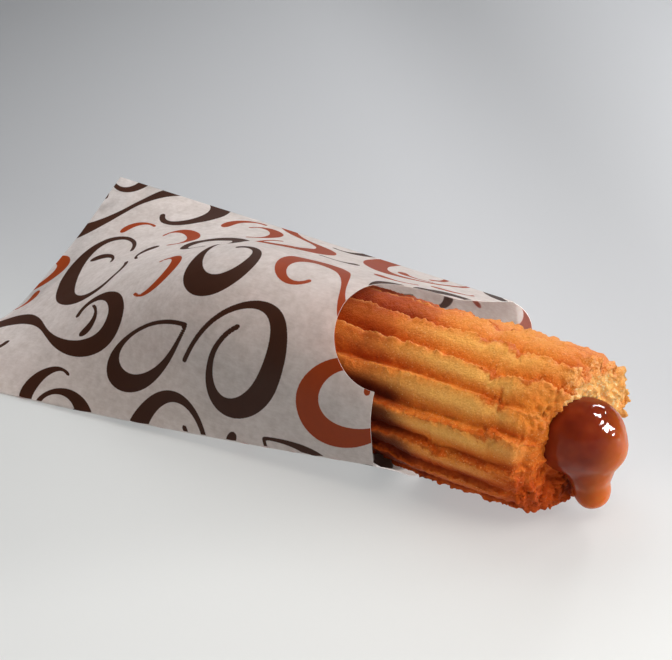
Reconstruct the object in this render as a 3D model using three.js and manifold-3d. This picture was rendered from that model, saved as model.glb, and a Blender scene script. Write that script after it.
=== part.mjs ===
// A filled churro in a flat paper bag.
//
// Millimetres, +Z up. The churro lies along X with its open, filled end towards +X.
// While the pieces are built, x is measured from the closed end of the bag, y from the
// churro's axis and z from the ground. At the end the group is moved so that its origin
// is the middle of the underside of the whole.

import * as THREE from "three";
import { mergeVertices } from "three/addons/utils/BufferGeometryUtils.js";
import Module from "manifold-3d";

const wasm = await Module();
wasm.setup();

// ---------------------------------------------------------------- driving dimensions

const AXIS_HEIGHT = 20; // the churro's axis above the ground
const CLEARANCE = 0.37; // left between the filling and the dough

const DOUGH = {
  start: 70, // the end that is hidden in the bag
  tip: 164.4, // the open end
  radius: 18.8, // over the crests of the ridges, inside the bag
  swelling: 0.6, // how much further they stand out where no bag holds them
  ridges: 16,
  firstCrest: THREE.MathUtils.degToRad(7),
  grooveDepth: 2.4,
  grooveAt: 0.87, // share of the way from one crest to the next where the groove is deepest
  fall: 1.5, // above 1 the bands between the crests are rounded, below 1 hollow
  crestDrop: 0.25, // how far the crests lie on average below the radius
  crestTear: 0.55, // how far a crest goes up and down
  crestSway: 0.09, // how far a crest wanders sideways, as a share of the way to the next
  grooveSwell: 0.35, // how far the floor of a groove goes up and down
  gapHalf: [1.4, 2.8], // half-lengths of the gaps where a crest has broken through
  gapDepth: [0.7, 1.5],
  gapFromEnds: 6, // gaps keep this far from both ends of the bare crust
  bareFrom: 112, // from here on the crust shows, with torn crests
  bareEase: 5, // the tears grow over this length before and after that
  swellFrom: 120, // the crust starts to swell here
  swellTo: 136,
  rowSpacing: 1.6, // between rows of points along the bare crust
  hiddenRowSpacing: 7,
  endRounding: 6, // radius of the hidden end's edge
  tipTaper: 0.7, // how much slimmer the open end gets
  tipLength: 7, // over this length it tapers and its teeth stand out
  toothAlong: [-0.6, 2.2], // how far the end of a ridge reaches along the churro
  toothOut: [-0.3, 0.6], // and how far it bends outwards
  rimCurl: 0.4, // the rim itself stands this far over the last row of the side
  crumb: 0.35, // how far the crumbs of the torn end stand out, at least
  mouthDepth: 3.4, // how far the open end dips in towards the filling
  slant: 4, // how much further the open end reaches on one side
  slantTowards: THREE.MathUtils.degToRad(20), // that side
  nearTaper: 1.6, // the end is this much slimmer on the side that faces nearTowards
  nearTowards: THREE.MathUtils.degToRad(165),
  faceRings: [0.93, 0.8, 0.64, 0.46, 0.28], // rings of the open end, as shares of its radius
  faceGroovesTo: 0.55, // the grooves run over the rim as far as this share
};

const FILLING = {
  start: 82, // the blind end of the core
  coreRadius: 6.4,
  coreBevel: 1.2, // on the edge of its blind end
  coreEnd: 165,
  root: { centre: new THREE.Vector3(163, -1.9, 20.3), radius: 7.2 },
  shoulder: { centre: new THREE.Vector3(165.9, -4.1, 24.1), radius: 6.1 },
  bulge: { centre: new THREE.Vector3(166.8, 0, 21.2), radius: 8 },
  lobe: { centre: new THREE.Vector3(171.1, 0.8, 18.3), radius: 3.9 },
  bridge: { centre: new THREE.Vector3(167.6, 0.4, 13.2), radius: 5 },
  drip: { centre: new THREE.Vector3(168.2, 1.2, 7), radius: 4 },
  softness: 1.1, // how softly the lumps run into each other
  heart: new THREE.Vector3(167.7, 0.52, 16), // the lumps' skin is measured from here
  heartReach: 20, // and lies nowhere further than this
};

const BAG = {
  mouth: 124.3, // front panel's edge, from the closed end
  lip: 4.7, // how much longer the back panel is
  lipCorner: 7, // width of the rounded corners of that lip
  wall: 0.5,
  seam: 8, // the closed end's flat, glued strip
  foldWidth: 0.06, // share of a panel's width in which its crease thins out
  foldInset: 1.2, // the hollow stops this far from the creases
  hullRadius: 20, // outside of the paper where it wraps the churro
  wrapFrom: 71, // the paper has risen to the churro's full height about here
  wrapEase: 0.15, // softness of that shoulder, as a share of wrapFrom
  nearCorner: -34, // y of the crease on the near side, at the closed end
  nearCornerCurve: 1.3,
  nearMouth: new THREE.Vector2(-18.6, 8.5), // that crease at the mouth
  nearRise: 2.2, // how late the near crease lifts off the ground
  farClosed: new THREE.Vector2(49, 21), // the far crease at the closed end
  farMouth: new THREE.Vector2(44.3, 21.2), // the far crease at the mouth
  flatTo: -3, // the closed end lies flat on the ground as far as this y
  flatRise: { start: [14, 0], end: [-20, -11.5] }, // handles of its curve up to the far crease
  floorEdge: 41, // the back panel lies on the ground as far as this y
  floorRise: { start: [8, 0], end: [2.5, -9] }, // handles of its curve up to the far crease
  leastWrap: 0.05, // the back panel hugs the churro's underside over at least this angle
  notchCentre: 39.5, // thumb notch, along the front panel from the near crease
  notchHalfWidth: 20.4,
  notchDepth: 15.8,
  // where rows and columns of points lie, in mm from the closed end and the near crease
  stations: [8, 16, 25, 34, 43, 52, 60, 68, 74, 80, 87, 94, 101, 108, 114, 119],
  columnsBeforeNotch: [0, 5, 9.5, 14.5],
  columnsInNotch: 15,
  columnsAfterNotch: [68, 76, 84],
  columnsInCorner: [0, 1.2, 3.4, 7],
};

// ---------------------------------------------------------------- helpers

const { lerp, smoothstep } = THREE.MathUtils;

// A seeded generator of numbers from 0 to 1.
function makeRandom(seed) {
  let state = seed;
  return () => {
    state = (state + 0x6d2b79f5) | 0;
    let t = Math.imul(state ^ (state >>> 15), 1 | state);
    t = (t + Math.imul(t ^ (t >>> 7), 61 | t)) ^ t;
    return ((t ^ (t >>> 14)) >>> 0) / 4294967296;
  };
}

// Smooth noise from -1 to 1 along a line, with one random value per step.
function makeNoise(seed, step) {
  const random = makeRandom(seed);
  const values = Array.from({ length: 64 }, () => 2 * random() - 1);
  return (x) => {
    const place = x / step + 1000;
    const cell = Math.floor(place);
    const blend = smoothstep(place - cell, 0, 1);
    return lerp(values[cell % 64], values[(cell + 1) % 64], blend);
  };
}

// Collects quads and triangles, then gives one closed geometry with shared vertices.
class Skin {
  constructor() {
    this.positions = [];
  }

  triangle(a, b, c) {
    for (const p of [a, b, c]) this.positions.push(p.x, p.y, p.z);
  }

  // rows of points, all of one length; "wrap" joins the last column to the first
  grid(rows, { wrap = false, flip = false } = {}) {
    for (let i = 0; i + 1 < rows.length; i += 1) {
      const count = rows[i].length;
      for (let j = 0; j + (wrap ? 0 : 1) < count; j += 1) {
        const k = (j + 1) % count;
        const [a, b, c, d] = [rows[i][j], rows[i][k], rows[i + 1][k], rows[i + 1][j]];
        if (flip) {
          this.triangle(a, c, b);
          this.triangle(a, d, c);
        } else {
          this.triangle(a, b, c);
          this.triangle(a, c, d);
        }
      }
    }
  }

  // closes a ring of points onto one point
  fan(centre, ring, { flip = false } = {}) {
    ring.forEach((point, j) => {
      const next = ring[(j + 1) % ring.length];
      if (flip) this.triangle(centre, next, point);
      else this.triangle(centre, point, next);
    });
  }

  geometry() {
    const raw = new THREE.BufferGeometry();
    raw.setAttribute("position", new THREE.Float32BufferAttribute(this.positions, 3));
    return mergeVertices(raw, 1e-4);
  }
}

function toSolid(geometry) {
  const bare = geometry.clone();
  for (const name of Object.keys(bare.attributes)) {
    if (name !== "position") bare.deleteAttribute(name);
  }
  const merged = mergeVertices(bare, 1e-4);
  const mesh = new wasm.Mesh({
    numProp: 3,
    vertProperties: new Float32Array(merged.attributes.position.array),
    triVerts: new Uint32Array(merged.index.array),
  });
  return new wasm.Manifold(mesh);
}

function toGeometry(solid) {
  const mesh = solid.getMesh();
  const geometry = new THREE.BufferGeometry();
  geometry.setAttribute("position", new THREE.BufferAttribute(mesh.vertProperties, 3));
  geometry.setIndex(new THREE.BufferAttribute(mesh.triVerts, 1));
  return geometry;
}

// ---------------------------------------------------------------- the filling

// Distance to the soft union of the filling's round lumps.
function fillingDistance(point) {
  const { root, shoulder, bulge, lobe, bridge, drip, softness } = FILLING;
  let sum = 0;
  for (const ball of [root, shoulder, bulge, lobe, bridge, drip]) {
    const distance = point.distanceTo(ball.centre) - ball.radius;
    sum += Math.exp(-distance / softness);
  }
  return -softness * Math.log(sum);
}

// How far out from the middle, along a direction, the lump's skin lies.
function lumpReach(direction, growth) {
  const { heart, heartReach } = FILLING;
  const probe = (t) => fillingDistance(heart.clone().addScaledVector(direction, t)) - growth;
  const stride = 0.5;
  const halvings = 20;
  let outside = heartReach;
  while (probe(outside - stride) > 0 && outside > 2 * stride) outside -= stride;
  let inside = outside - stride;
  for (let pass = 0; pass < halvings; pass += 1) {
    const middle = (inside + outside) / 2;
    if (probe(middle) > 0) outside = middle;
    else inside = middle;
  }
  return inside;
}

function lumpGeometry(growth) {
  const around = 34;
  const down = 24;
  const at = (row, column) => {
    const tilt = (Math.PI * row) / down;
    const turn = (2 * Math.PI * column) / around;
    const direction = new THREE.Vector3(
      Math.sin(tilt) * Math.cos(turn),
      Math.sin(tilt) * Math.sin(turn),
      Math.cos(tilt),
    );
    return FILLING.heart.clone().addScaledVector(direction, lumpReach(direction, growth));
  };
  const rows = [];
  for (let row = 1; row < down; row += 1) {
    rows.push(Array.from({ length: around }, (_, column) => at(row, column)));
  }
  const skin = new Skin();
  skin.fan(at(0, 0), rows[0]);
  skin.grid(rows, { wrap: true, flip: true });
  skin.fan(at(down, 0), rows[rows.length - 1], { flip: true });
  return skin.geometry();
}

// The straight core inside the dough, with a bevelled blind end.
function coreGeometry(growth) {
  const { coreBevel, coreEnd } = FILLING;
  const around = 28;
  const radius = FILLING.coreRadius + growth;
  const start = FILLING.start - growth;
  const profile = [
    new THREE.Vector2(0, start),
    new THREE.Vector2(radius - coreBevel, start),
    new THREE.Vector2(radius, start + coreBevel),
    new THREE.Vector2(radius, coreEnd),
    new THREE.Vector2(0, coreEnd),
  ];
  const geometry = new THREE.LatheGeometry(profile, around);
  geometry.rotateZ(-Math.PI / 2);
  geometry.translate(0, 0, AXIS_HEIGHT);
  return geometry;
}

function fillingSolid(growth) {
  return toSolid(coreGeometry(growth)).add(toSolid(lumpGeometry(growth)));
}

// ---------------------------------------------------------------- the dough

const crestTears = Array.from({ length: DOUGH.ridges }, (_, k) => makeNoise(100 + k, 1.9));
const crestWander = Array.from({ length: DOUGH.ridges }, (_, k) => makeNoise(300 + k, 13));
const grooveSwells = Array.from({ length: DOUGH.ridges }, (_, k) => makeNoise(500 + k, 9));
const crumb = makeNoise(700, 1);

// Where the crests have broken through: one or two gaps on each ridge.
function makeGaps() {
  const random = makeRandom(11);
  const { bareFrom, tip, gapHalf, gapDepth, gapFromEnds } = DOUGH;
  return Array.from({ length: DOUGH.ridges }, () => {
    const count = 1 + Math.floor(2 * random());
    return Array.from({ length: count }, () => ({
      x: lerp(bareFrom + gapFromEnds, tip - gapFromEnds, random()),
      half: lerp(...gapHalf, random()),
      depth: lerp(...gapDepth, random()),
    }));
  });
}
const crestGaps = makeGaps();

// Ragged teeth round the open end: how far each ridge's end stands out.
function makeTeeth() {
  const random = makeRandom(29);
  return Array.from({ length: DOUGH.ridges }, () => ({
    along: lerp(...DOUGH.toothAlong, random()),
    out: lerp(...DOUGH.toothOut, random()),
  }));
}
const teeth = makeTeeth();

// How far a crest stands over the nominal radius.
function crestHeight(ridge, x) {
  const bare = smoothstep(x, DOUGH.bareFrom - DOUGH.bareEase, DOUGH.bareFrom + DOUGH.bareEase);
  let height = DOUGH.crestTear * crestTears[ridge](x) * bare - DOUGH.crestDrop;
  for (const gap of crestGaps[ridge]) {
    height -= gap.depth * Math.exp(-(((x - gap.x) / gap.half) ** 2));
  }
  return height;
}

// 0 on a crest and 1 in the groove. A swollen, rounded band falls away from each crest to the
// groove, and from there a steep flank goes up to the next crest.
function depthShare(across) {
  const { grooveAt, fall } = DOUGH;
  if (across < grooveAt) return (across / grooveAt) ** fall;
  return (1 - across) / (1 - grooveAt);
}

// Radius of the crust on ridge k at x. "across" runs from 0 on the crest to 1 on the next.
function crustRadius(k, across, x) {
  const next = (k + 1) % DOUGH.ridges;
  const depth = depthShare(across);
  const crests = lerp(crestHeight(k, x), crestHeight(next, x), across) * (1 - depth);
  const floorOfGroove = DOUGH.grooveDepth + DOUGH.grooveSwell * grooveSwells[k](x);
  const free = smoothstep(x, DOUGH.swellFrom, DOUGH.swellTo);
  return DOUGH.radius + DOUGH.swelling * free + crests - floorOfGroove * depth;
}

function crustAngle(k, across, x) {
  const pitch = (2 * Math.PI) / DOUGH.ridges;
  const next = (k + 1) % DOUGH.ridges;
  const wander = lerp(crestWander[k](x), crestWander[next](x), across);
  return DOUGH.firstCrest + pitch * (k + across + DOUGH.crestSway * wander);
}

function polarPoint(x, radius, angle) {
  return new THREE.Vector3(
    x,
    radius * Math.cos(angle),
    AXIS_HEIGHT + radius * Math.sin(angle),
  );
}

// places of the points from one crest to the next
const ACROSS = [0, 0.2, 0.45, 0.7, DOUGH.grooveAt];

// The open end isn't square: it reaches furthest on the far side.
function slantAt(angle) {
  return DOUGH.slant * Math.cos(angle - DOUGH.slantTowards);
}

// It gets slimmer on the way to the rim, most of all on the near side.
function taperAt(angle) {
  const facing = Math.max(0, Math.cos(angle - DOUGH.nearTowards));
  return DOUGH.tipTaper + DOUGH.nearTaper * facing * facing;
}

// One row of points round the churro. "place" gives x and radius from the crust's own.
function doughRow(x, place) {
  const row = [];
  for (let k = 0; k < DOUGH.ridges; k += 1) {
    for (const across of ACROSS) {
      const angle = crustAngle(k, across, x);
      const tooth = lerp(teeth[k].along, teeth[(k + 1) % DOUGH.ridges].along, across);
      const flare = lerp(teeth[k].out, teeth[(k + 1) % DOUGH.ridges].out, across);
      const onCrest = 1 - depthShare(across);
      const spot = place({ radius: crustRadius(k, across, x), tooth, flare, onCrest, angle });
      row.push(polarPoint(spot.x, spot.radius, angle));
    }
  }
  return row;
}

function doughSideRows() {
  const rows = [];
  const { start, tip, tipLength, endRounding } = DOUGH;
  const { bareFrom, hiddenRowSpacing, rowSpacing } = DOUGH;
  for (const turn of [0, 30, 60]) {
    const angle = THREE.MathUtils.degToRad(turn);
    const inset = endRounding * (1 - Math.sin(angle));
    const x = start + endRounding * (1 - Math.cos(angle));
    rows.push(doughRow(x, ({ radius }) => ({ x, radius: radius - inset })));
  }
  for (let x = start + endRounding; x < bareFrom; x += hiddenRowSpacing) {
    rows.push(doughRow(x, ({ radius }) => ({ x, radius })));
  }
  for (let x = bareFrom + rowSpacing; x < tip - rowSpacing / 2; x += rowSpacing) {
    const pull = smoothstep(x, tip - tipLength, tip);
    rows.push(doughRow(x, ({ radius, tooth, flare, onCrest, angle }) => ({
      x: x + pull * (tooth * onCrest + slantAt(angle)),
      radius: radius + pull * (flare * onCrest - taperAt(angle)),
    })));
  }
  return rows;
}

// The open end: from the ragged rim over a crumbly face that dips towards the filling.
function doughFaceRows() {
  const { tip, rimCurl, radius: full, mouthDepth, faceRings, faceGroovesTo } = DOUGH;
  const ringSeed = 11; // keeps the crumbs of one ring apart from the next
  const angleScale = 37; // and those of one ring apart from each other
  const smoothRim = 1; // the rim's radius where no grooves reach it is this much smaller
  return faceRings.map((share, ring) => doughRow(tip, (spot) => {
    const { radius, tooth, flare, onCrest, angle } = spot;
    const relief = smoothstep(share, faceGroovesTo, 1);
    // the torn face is roughest on its upper, far side
    const crumbly = DOUGH.crumb * (1 + Math.max(0, Math.sin(angle)));
    const rough = crumbly * crumb(angleScale * angle + ringSeed * ring);
    const dip = mouthDepth * (1 - share);
    return {
      x: tip + rimCurl + share * slantAt(angle) + relief * tooth * onCrest - dip + rough,
      radius: share * lerp(full - smoothRim, radius - taperAt(angle) + flare * onCrest, relief),
    };
  }));
}

function doughGeometry() {
  const rows = [...doughSideRows(), ...doughFaceRows()];
  const skin = new Skin();
  const backCentre = new THREE.Vector3(DOUGH.start, 0, AXIS_HEIGHT);
  const faceCentre = new THREE.Vector3(DOUGH.tip - DOUGH.mouthDepth, 0, AXIS_HEIGHT);
  skin.fan(backCentre, rows[0], { flip: true });
  skin.grid(rows, { wrap: true });
  skin.fan(faceCentre, rows[rows.length - 1]);
  return skin.geometry();
}

// ---------------------------------------------------------------- the paper bag

function nearCrease(x) {
  const gone = Math.max(0, x / BAG.mouth);
  return new THREE.Vector2(
    lerp(BAG.nearMouth.x, BAG.nearCorner, Math.max(0, 1 - gone) ** BAG.nearCornerCurve),
    lerp(BAG.wall, BAG.nearMouth.y, gone ** BAG.nearRise),
  );
}

function farCrease(x) {
  return BAG.farClosed.clone().lerp(BAG.farMouth, Math.max(0, x / BAG.mouth));
}

// Share of the cross-section that wraps the churro: 0 at the closed end, 1 over the churro.
function wrapShare(x) {
  const t = Math.max(0, x / BAG.wrapFrom);
  const ease = BAG.wrapEase;
  if (t < 1 - ease) return t;
  if (t > 1 + ease) return 1;
  return 1 - (1 + ease - t) ** 2 / (4 * ease);
}

// Angle where a line from a point outside touches the paper's round hull; side is 1 or -1.
function touchAngle(point, side) {
  const dy = point.x;
  const dz = point.y - AXIS_HEIGHT;
  return Math.atan2(dz, dy) + side * Math.acos(BAG.hullRadius / Math.hypot(dy, dz));
}

function hullPoint(angle) {
  const { hullRadius } = BAG;
  return [hullRadius * Math.cos(angle), AXIS_HEIGHT + hullRadius * Math.sin(angle)];
}

// Cross-section of the front panel where it goes over the churro, from crease to crease.
function frontOverChurro(near, far) {
  const [leave, land] = [touchAngle(near, -1), touchAngle(far, 1)];
  const path = new THREE.Path();
  path.moveTo(near.x, near.y);
  path.lineTo(...hullPoint(leave));
  path.absarc(0, AXIS_HEIGHT, BAG.hullRadius, leave, land, true);
  path.lineTo(far.x, far.y);
  return path;
}

// Ends a path with a curve up to the far crease; its handles are offsets from its two ends.
function riseTo(path, from, far, { start, end }) {
  const leave = new THREE.Vector2(...start).add(from);
  const arrive = new THREE.Vector2(...end).add(far);
  path.bezierCurveTo(leave.x, leave.y, arrive.x, arrive.y, far.x, far.y);
}

// Cross-section of the back panel: under the churro, along the ground, up to the far crease.
function backUnderChurro(near, far) {
  const { floorEdge, floorRise, leastWrap } = BAG;
  const lowest = -Math.PI / 2;
  const touch = Math.min(touchAngle(near, 1), lowest - leastWrap);
  const path = new THREE.Path();
  path.moveTo(near.x, near.y);
  path.lineTo(...hullPoint(touch));
  path.absarc(0, AXIS_HEIGHT, BAG.hullRadius, touch, lowest, false);
  path.lineTo(floorEdge, 0);
  riseTo(path, new THREE.Vector2(floorEdge, 0), far, floorRise);
  return path;
}

// Cross-section of the closed end: flat on the ground, then up to the far crease.
function flatSection(near, far) {
  const path = new THREE.Path();
  path.moveTo(near.x, near.y);
  path.lineTo(BAG.flatTo, BAG.wall);
  riseTo(path, new THREE.Vector2(BAG.flatTo, BAG.wall), far, BAG.flatRise);
  return path;
}

// A point on the outside of the front (+1) or back (-1) panel; share runs crease to crease.
function panelPoint(side, x, share) {
  const near = nearCrease(x);
  const far = farCrease(x);
  const half = side * BAG.wall;
  const wrapped = side > 0 ? frontOverChurro(near, far) : backUnderChurro(near, far);
  const flat = flatSection(near, far).getPoint(share);
  const point = flat.lerp(wrapped.getPoint(share), wrapShare(x));
  // the creases are two walls thick all along, and so is the whole closed end
  const creased = 1 - smoothstep(Math.min(share, 1 - share), 0, BAG.foldWidth);
  const thick = lerp(1, creased, wrapShare(x));
  return new THREE.Vector3(x, point.x, Math.max(0, point.y + half * thick));
}

// The same point moved in by the thickness of the paper.
function innerPanelPoint(side, x, share) {
  const step = 0.5;
  const shareStep = 0.004;
  const along = panelPoint(side, x + step, share).sub(panelPoint(side, x - step, share));
  const across = panelPoint(side, x, share + shareStep)
    .sub(panelPoint(side, x, share - shareStep));
  const inward = across.cross(along).normalize().multiplyScalar(side);
  return panelPoint(side, x, share).addScaledVector(inward, BAG.wall);
}

// The front edge of each panel, by the distance from the near crease.
function frontPanelEnd(distance) {
  const off = (distance - BAG.notchCentre) / BAG.notchHalfWidth;
  if (Math.abs(off) >= 1) return BAG.mouth;
  return BAG.mouth - BAG.notchDepth * Math.sqrt(1 - off * off);
}

function backPanelEnd(distance, width) {
  const fromSide = Math.min(distance, width - distance) / BAG.lipCorner;
  if (fromSide >= 1) return BAG.mouth + BAG.lip;
  return BAG.mouth + BAG.lip * Math.sqrt(1 - (1 - fromSide) ** 2);
}

// Distances of the front panel's columns from the near crease, closer along the notch.
function frontColumns(width) {
  const { notchCentre, notchHalfWidth, columnsInNotch } = BAG;
  const inNotch = Array.from({ length: columnsInNotch }, (_, i) => (
    notchCentre - notchHalfWidth * Math.cos((Math.PI * i) / (columnsInNotch - 1))
  ));
  return [...BAG.columnsBeforeNotch, ...inNotch, ...BAG.columnsAfterNotch, width];
}

function backColumns(width, count) {
  const corner = BAG.columnsInCorner;
  const inset = corner[corner.length - 1];
  const inner = count - 2 * corner.length;
  const between = Array.from({ length: inner }, (_, i) => (
    lerp(inset, width - inset, (i + 1) / (inner + 1))
  ));
  return [...corner, ...between, ...corner.map((d) => width - d).reverse()];
}

function bagGeometry() {
  const width = frontOverChurro(BAG.nearMouth, BAG.farMouth).getLength();
  const front = frontColumns(width);
  const back = backColumns(width, front.length);
  const shares = (columns) => columns.map((d) => d / width);
  const fade = 1.5 * BAG.foldInset; // the inset at the creases dies away over this length
  const pushed = (d) => BAG.foldInset * Math.exp(-d / fade);
  const innerShares = (columns) => columns.map((d) => (d + pushed(d) - pushed(width - d)) / width);
  const rowShares = (from) => {
    const between = BAG.stations.filter((x) => x > from);
    return [from, ...between, BAG.mouth].map((x) => (x - from) / (BAG.mouth - from));
  };
  const panel = (side, from, columns, columnShares, point) => {
    const ends = columns.map((d) => (side > 0 ? frontPanelEnd(d) : backPanelEnd(d, width)));
    return rowShares(from).map((t) => columnShares.map((share, j) => (
      point(side, lerp(from, ends[j], t), share)
    )));
  };
  const outerFront = panel(1, 0, front, shares(front), panelPoint);
  const outerBack = panel(-1, 0, back, shares(back), panelPoint);
  const innerFront = panel(1, BAG.seam, front, innerShares(front), innerPanelPoint);
  const innerBack = panel(-1, BAG.seam, back, innerShares(back), innerPanelPoint);

  const skin = new Skin();
  const last = front.length - 1;
  const column = (rows, j) => rows.map((row) => row[j]);
  const end = (rows) => rows[rows.length - 1];
  skin.grid(outerFront, { flip: true });
  skin.grid(outerBack);
  skin.grid([column(outerFront, 0), column(outerBack, 0)], { flip: true });
  skin.grid([column(outerFront, last), column(outerBack, last)]);
  skin.grid([outerFront[0], outerBack[0]]);
  skin.grid(innerFront);
  skin.grid(innerBack, { flip: true });
  skin.grid([column(innerFront, 0), column(innerBack, 0)]);
  skin.grid([column(innerFront, last), column(innerBack, last)], { flip: true });
  skin.grid([innerFront[0], innerBack[0]], { flip: true });
  skin.grid([end(outerFront), end(innerFront)], { flip: true });
  skin.grid([end(outerBack), end(innerBack)]);
  for (const [j, flip] of [[0, true], [last, false]]) {
    const corner = [outerFront, innerFront, innerBack, outerBack].map((rows) => end(rows)[j]);
    skin.grid([[corner[0], corner[1]], [corner[3], corner[2]]], { flip });
  }
  return skin.geometry();
}

// ---------------------------------------------------------------- the whole

function piece(name, geometry, { color, roughness }) {
  const material = new THREE.MeshStandardMaterial({ color, roughness, metalness: 0 });
  const mesh = new THREE.Mesh(geometry, material);
  mesh.name = name;
  return mesh;
}

const dough = toSolid(doughGeometry()).subtract(fillingSolid(CLEARANCE));

const churro = new THREE.Group();
churro.add(
  piece("dough", toGeometry(dough), { color: 0xd08338, roughness: 0.75 }),
  piece("filling", toGeometry(fillingSolid(0)), { color: 0x8a3a1a, roughness: 0.2 }),
  piece("paper_bag", bagGeometry(), { color: 0xcfc6c2, roughness: 0.7 }),
);

const box = new THREE.Box3().setFromObject(churro);
const middle = box.getCenter(new THREE.Vector3());
churro.position.set(-middle.x, -middle.y, -box.min.z);

export default churro;
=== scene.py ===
# %% [markdown]
# # A filled churro in a paper bag
#
# The CAD model gives three solids: the dough, its filling and a paper bag. This lesson dresses
# them. The dough gets torn ridges and a crumbly end, the filling a glossy skin, and the bag
# becomes thin printed paper. Everything stays in the frame of the CAD model, in metres.

# %% Load the CAD frame
import math

import bpy
import numpy as np
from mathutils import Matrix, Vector


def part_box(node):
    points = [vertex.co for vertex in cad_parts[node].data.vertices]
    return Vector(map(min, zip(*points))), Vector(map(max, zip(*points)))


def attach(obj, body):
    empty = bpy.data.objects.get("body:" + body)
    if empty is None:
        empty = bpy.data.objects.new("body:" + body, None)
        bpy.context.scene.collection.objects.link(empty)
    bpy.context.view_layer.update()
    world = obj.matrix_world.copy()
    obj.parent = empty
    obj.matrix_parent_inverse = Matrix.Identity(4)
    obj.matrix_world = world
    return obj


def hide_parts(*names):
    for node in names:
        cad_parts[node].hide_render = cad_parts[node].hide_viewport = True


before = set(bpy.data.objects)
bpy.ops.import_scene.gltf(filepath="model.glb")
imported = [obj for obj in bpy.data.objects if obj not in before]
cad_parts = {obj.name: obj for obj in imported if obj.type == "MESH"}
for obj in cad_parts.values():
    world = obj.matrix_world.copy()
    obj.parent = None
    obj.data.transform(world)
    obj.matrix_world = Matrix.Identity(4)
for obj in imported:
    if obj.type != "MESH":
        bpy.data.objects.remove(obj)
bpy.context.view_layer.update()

# %% [markdown]
# The shapes are easiest to think of in millimetres, measured from the bag's closed end, from
# the churro's long axis and from the table. One function turns such places into the frame.

# %% Millimetres to the frame
MM = 0.001
NEAR_CORNER = -34.0  # y of the bag's near corner, from the churro's axis
AXIS_HEIGHT = 20.0  # the churro's axis above the table

bag_low, bag_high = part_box("paper_bag")
ORIGIN = np.array([bag_low.x, bag_low.y - NEAR_CORNER * MM, bag_low.z])


def to_frame(points):
    """Places in millimetres become places in the frame, in metres."""
    return np.asarray(points, float) * MM + ORIGIN


print("closed end of the bag on the axis:", to_frame([0, 0, AXIS_HEIGHT]).round(4))

# %% [markdown]
# The camera looks down on the churro from its open side, from half a metre away, through a
# long lens. Such a view is an azimuth, a height angle, a distance and a point to look at.

# %% The camera
CAMERA_AZIMUTH = 33.3  # degrees, from straight in front towards the open end
CAMERA_ELEVATION = 29.0
CAMERA_DISTANCE = 480.0
CAMERA_TARGET = (90.1, 18.6, 15.0)
LENS = 106.8
SENSOR_WIDTH = 36.0


def new_object(name, data):
    """An object of the scene for some data."""
    thing = bpy.data.objects.new(name, data)
    bpy.context.scene.collection.objects.link(thing)
    return thing


azimuth, elevation = math.radians(CAMERA_AZIMUTH), math.radians(CAMERA_ELEVATION)
back = Vector((
    math.sin(azimuth) * math.cos(elevation),
    -math.cos(azimuth) * math.cos(elevation),
    math.sin(elevation),
))
camera_data = bpy.data.cameras.new("camera")
camera_data.lens = LENS
camera_data.sensor_width = SENSOR_WIDTH
camera_data.sensor_fit = "HORIZONTAL"
camera_data.clip_start = 0.01
camera = new_object("camera", camera_data)
camera.location = Vector(to_frame(CAMERA_TARGET)) + back * CAMERA_DISTANCE * MM
camera.rotation_euler = back.to_track_quat("Z", "Y").to_euler()
bpy.context.scene.camera = camera
print("camera at", tuple(round(c, 4) for c in camera.location))

# %% [markdown]
# Materials are graphs of nodes. Written out one node at a time they are long and hard to read,
# so two small classes help: Shade adds nodes to a material, and Value wraps one output, so that
# sums on it can be written as in Python and become Math nodes.


# %% Nodes as expressions
class Value:
    """A number that varies over a surface, with arithmetic that adds Math nodes."""

    def __init__(self, shade, socket):
        self.shade = shade
        self.socket = socket

    def math(self, operation, *others):
        operands = dict(enumerate([self, *others]))
        return self.shade.node("Math", {"operation": operation}, operands)

    def __add__(self, other):
        return self.math("ADD", other)

    def __sub__(self, other):
        return self.math("SUBTRACT", other)

    def __mul__(self, other):
        return self.math("MULTIPLY", other)

    def __rsub__(self, other):
        return self.shade.node("Math", {"operation": "SUBTRACT"}, {0: other, 1: self})

    __radd__ = __add__
    __rmul__ = __mul__


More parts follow.
